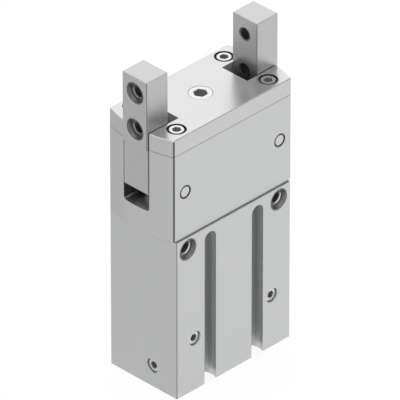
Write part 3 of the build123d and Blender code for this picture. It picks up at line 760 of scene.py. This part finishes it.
def cover_screws():
    """Makes the four screws of the cover, with their hexagon sockets and threads."""
    low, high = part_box("cover_screws")
    radius, pitch = M3
    core = radius - THREAD_DEPTH * pitch
    length = high.z - low.z - SCREW_HEAD_HEIGHT
    screw = lathe([
        (core - pitch / 2, -length),
        (core, pitch / 2 - length),
        (core, -pitch),
        (radius, -pitch / 2),
        (radius, 0),
        (SCREW_HEAD_RADIUS - SCREW_HEAD_CHAMFER, 0),
        (SCREW_HEAD_RADIUS, SCREW_HEAD_CHAMFER),
        (SCREW_HEAD_RADIUS, SCREW_HEAD_HEIGHT - SCREW_HEAD_CHAMFER),
        (SCREW_HEAD_RADIUS - SCREW_HEAD_CHAMFER, SCREW_HEAD_HEIGHT),
    ] + socket_rings(SCREW_HEAD_HEIGHT, SCREW_SOCKET, SCREW_SOCKET_DEPTH))
    shade_by_angle(screw)
    # The head's top chamfer takes the near-black steel: painted shade of the gap round the head
    for face in screw.faces:
        centre = face.calc_center_median()
        painted_shade_rim = 0 < SCREW_HEAD_HEIGHT - centre.z < SCREW_HEAD_CHAMFER
        if painted_shade_rim and centre.xy.length > SCREW_HEAD_RADIUS - SCREW_HEAD_CHAMFER:
            face.material_index = 1
    gather(screw, outer_thread(M3, length), [Matrix.Identity(4)])
    reach_x, reach_y = high.x - SCREW_HEAD_RADIUS, high.y - SCREW_HEAD_RADIUS
    seat = high.z - SCREW_HEAD_HEIGHT
    places = [Matrix.Translation((reach_x * i, reach_y * j, seat)) for i in (-1, 1) for j in (-1, 1)]
    bm = bmesh.new()
    gather(bm, screw, places)
    caps = keep("cover_cap_screws", bm, "housing", "screw_steel", "cover_screws")
    caps.data.materials.append(STEEL_RIM_SHADE)

    # A darker lining in each screw's socket: painted shade
    cups = bmesh.new()
    lift = Matrix.Translation((0, 0, SCREW_HEAD_HEIGHT))
    gather(cups, socket_shade_lining(SCREW_SOCKET, SCREW_SOCKET_DEPTH), [place @ lift for place in places])
    shade_by_angle(cups)
    keep("cover_screw_sockets", cups, "housing", "screw_steel", finishes=HOLLOW_SHADE_AND_LIGHT)


def plugs():
    """Makes the plug in the middle of the cover and the three small plugs of the air ports."""
    low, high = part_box("cover_plug")
    bm = bmesh.new()
    plug = headless_screw(M8_FINE, high.z - low.z, COVER_PLUG_CHAMFER, COVER_PLUG_SOCKET)
    gather(bm, plug, [Matrix.Translation((0, 0, high.z))])
    keep("cover_socket_plug", bm, "housing", "screw_steel", "cover_plug")
    # Darker linings in the plugs' sockets: painted shade
    cups = bmesh.new()
    lining = socket_shade_lining(COVER_PLUG_SOCKET, (high.z - low.z) * PLUG_SOCKET_DEPTH)
    gather(cups, lining, [Matrix.Translation((0, 0, high.z))])

    low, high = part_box("port_plugs")
    radius = M5[0]
    front = [facing((x, low.y, high.z - radius), (0, -1, 0)) for x in (radius - high.x, high.x - radius)]
    end = facing((low.x, high.y - radius, low.z + radius), (-1, 0, 0))
    bm = bmesh.new()
    gather(bm, headless_screw(M5, PORT_PLUG_LENGTH, PORT_PLUG_CHAMFER, PORT_PLUG_SOCKET), front + [end])
    keep("port_socket_plugs", bm, "housing", "screw_steel", "port_plugs")
    gather(cups, socket_shade_lining(PORT_PLUG_SOCKET, PORT_PLUG_LENGTH * PLUG_SOCKET_DEPTH), front + [end])
    shade_by_angle(cups)
    keep("plug_sockets", cups, "housing", "screw_steel", finishes=HOLLOW_SHADE_AND_LIGHT)


def tapped_threads():
    """Winds the threads of every tapped hole that is open to view."""
    for name, body, slot, mounts, size, length, lift in TAPPED_THREADS:
        raised = Matrix.Translation((0, 0, lift))
        places = [place @ raised for mount in mounts for place in hole_places(mount)]
        bm = bmesh.new()
        gather(bm, inner_thread(size, length), places)
        shade_by_angle(bm, THREAD_CREASE)
        # The thread's ridges take a darker copy of the metal: painted shade in the hole
        keep(name, bm, body, slot, finishes=HOLLOW_SHADE_AND_LIGHT)
        # A near-black lining at each thread's root: painted shade deep in the hole
        roots = bmesh.new()
        gather(roots, turned_ring(thread_shade_lining(size, length)), places)
        shade_by_angle(roots)
        keep(name + "_root_shade", roots, body, slot, finishes=ROOT_SHADE_FINISHES)


def thread_shade_lining(size, length):
    """Gives the section of a thin near-black lining at the root of a tapped hole's thread, which paints the
    shade deep in the hole.
    """
    radius = size[0]
    return [
        (radius + THREAD_BURIED, -THREAD_END_GAP),
        (radius - THREAD_WALL, -THREAD_END_GAP),
        (radius - THREAD_WALL, THREAD_END_GAP - length),
        (radius + THREAD_BURIED, THREAD_END_GAP - length),
    ]


def locating_bores():
    """Lines the bores that locate the gripper and its fingers, and the lead-ins to their threads."""
    top = BORE_DEPTH - BORE_LIP
    groove = top / BORE_GROOVES
    wall = [(BORE_RADIUS + THREAD_BURIED, top), (BORE_RADIUS - BORE_WALL, top)]
    for turn in range(BORE_GROOVES):
        wall.append((BORE_RADIUS - THREAD_WALL, top - groove * (turn + 0.5)))
        wall.append((BORE_RADIUS - BORE_WALL, top - groove * (turn + 1)))
    wall.append((BORE_RADIUS + THREAD_BURIED, 0))
    mouth = M5[0]
    lead_in = [
        (mouth + LEAD_IN_FOOT, 0),
        (mouth + LEAD_IN_FOOT, LEAD_IN_RIM),
        (mouth + LEAD_IN_RIM, LEAD_IN_RIM),
        (mouth - LEAD_IN_REACH, -LEAD_IN_DEPTH),
        (mouth + THREAD_BURIED, -LEAD_IN_DEPTH),
        (mouth + THREAD_BURIED, 0),
    ]
    for body, slot, mounts in LOCATING_BORES:
        places = [place for mount in mounts for place in hole_places(mount)]
        # The bores' walls and the jaws' lead-ins take darker copies of the metals: painted shade in the
        # hollows
        rim_finishes = FINISHES if body == "housing" else HOLLOW_SHADE_AND_LIGHT
        for form, section, finishes in (
            ("bores", wall, HOLLOW_SHADE_AND_LIGHT),
            ("lead_ins", lead_in, rim_finishes),
        ):
            bm = bmesh.new()
            gather(bm, turned_ring(section), places)
            shade_by_angle(bm)
            keep(f"{body}_{form}", bm, body, slot, finishes=finishes)


def notch_walls():
    """Lines the milled walls of the cover's two notches with a rougher, half-matt copy of the cover's metal
    that is a little paler: the milling's dull surface, with painted light that lifts the shade in the
    notches.
    """
    low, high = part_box("cover_plate")
    height = high.z - low.z - 2 * NOTCH_RIM
    length = high.x - NOTCH_INNER_X - 2 * NOTCH_RIM
    bm = bmesh.new()
    bmesh.ops.create_cube(bm, size=1)
    bmesh.ops.scale(bm, verts=bm.verts, vec=(length, NOTCH_WIDTH, height))
    bmesh.ops.translate(bm, verts=bm.verts, vec=(NOTCH_INNER_X + length / 2, 0, (low.z + high.z) / 2))
    open_sides = [face for face in bm.faces if max(abs(face.normal.z), face.normal.x) > FLAT_SHARE]
    bmesh.ops.delete(bm, geom=open_sides, context="FACES")
    bmesh.ops.solidify(bm, geom=bm.faces[:], thickness=NOTCH_LINING)
    bmesh.ops.mirror(bm, geom=bm.verts[:] + bm.edges[:] + bm.faces[:], axis="X")
    bmesh.ops.recalc_face_normals(bm, faces=bm.faces)
    keep("cover_notch_walls", bm, "housing", "cover_aluminium", finishes=HOLLOW_SHADE_AND_LIGHT)


studio()
dress_nodes()
for shell in SHELLS:
    shell_of(*shell)
cover_screws()
plugs()
tapped_threads()
locating_bores()
notch_walls()
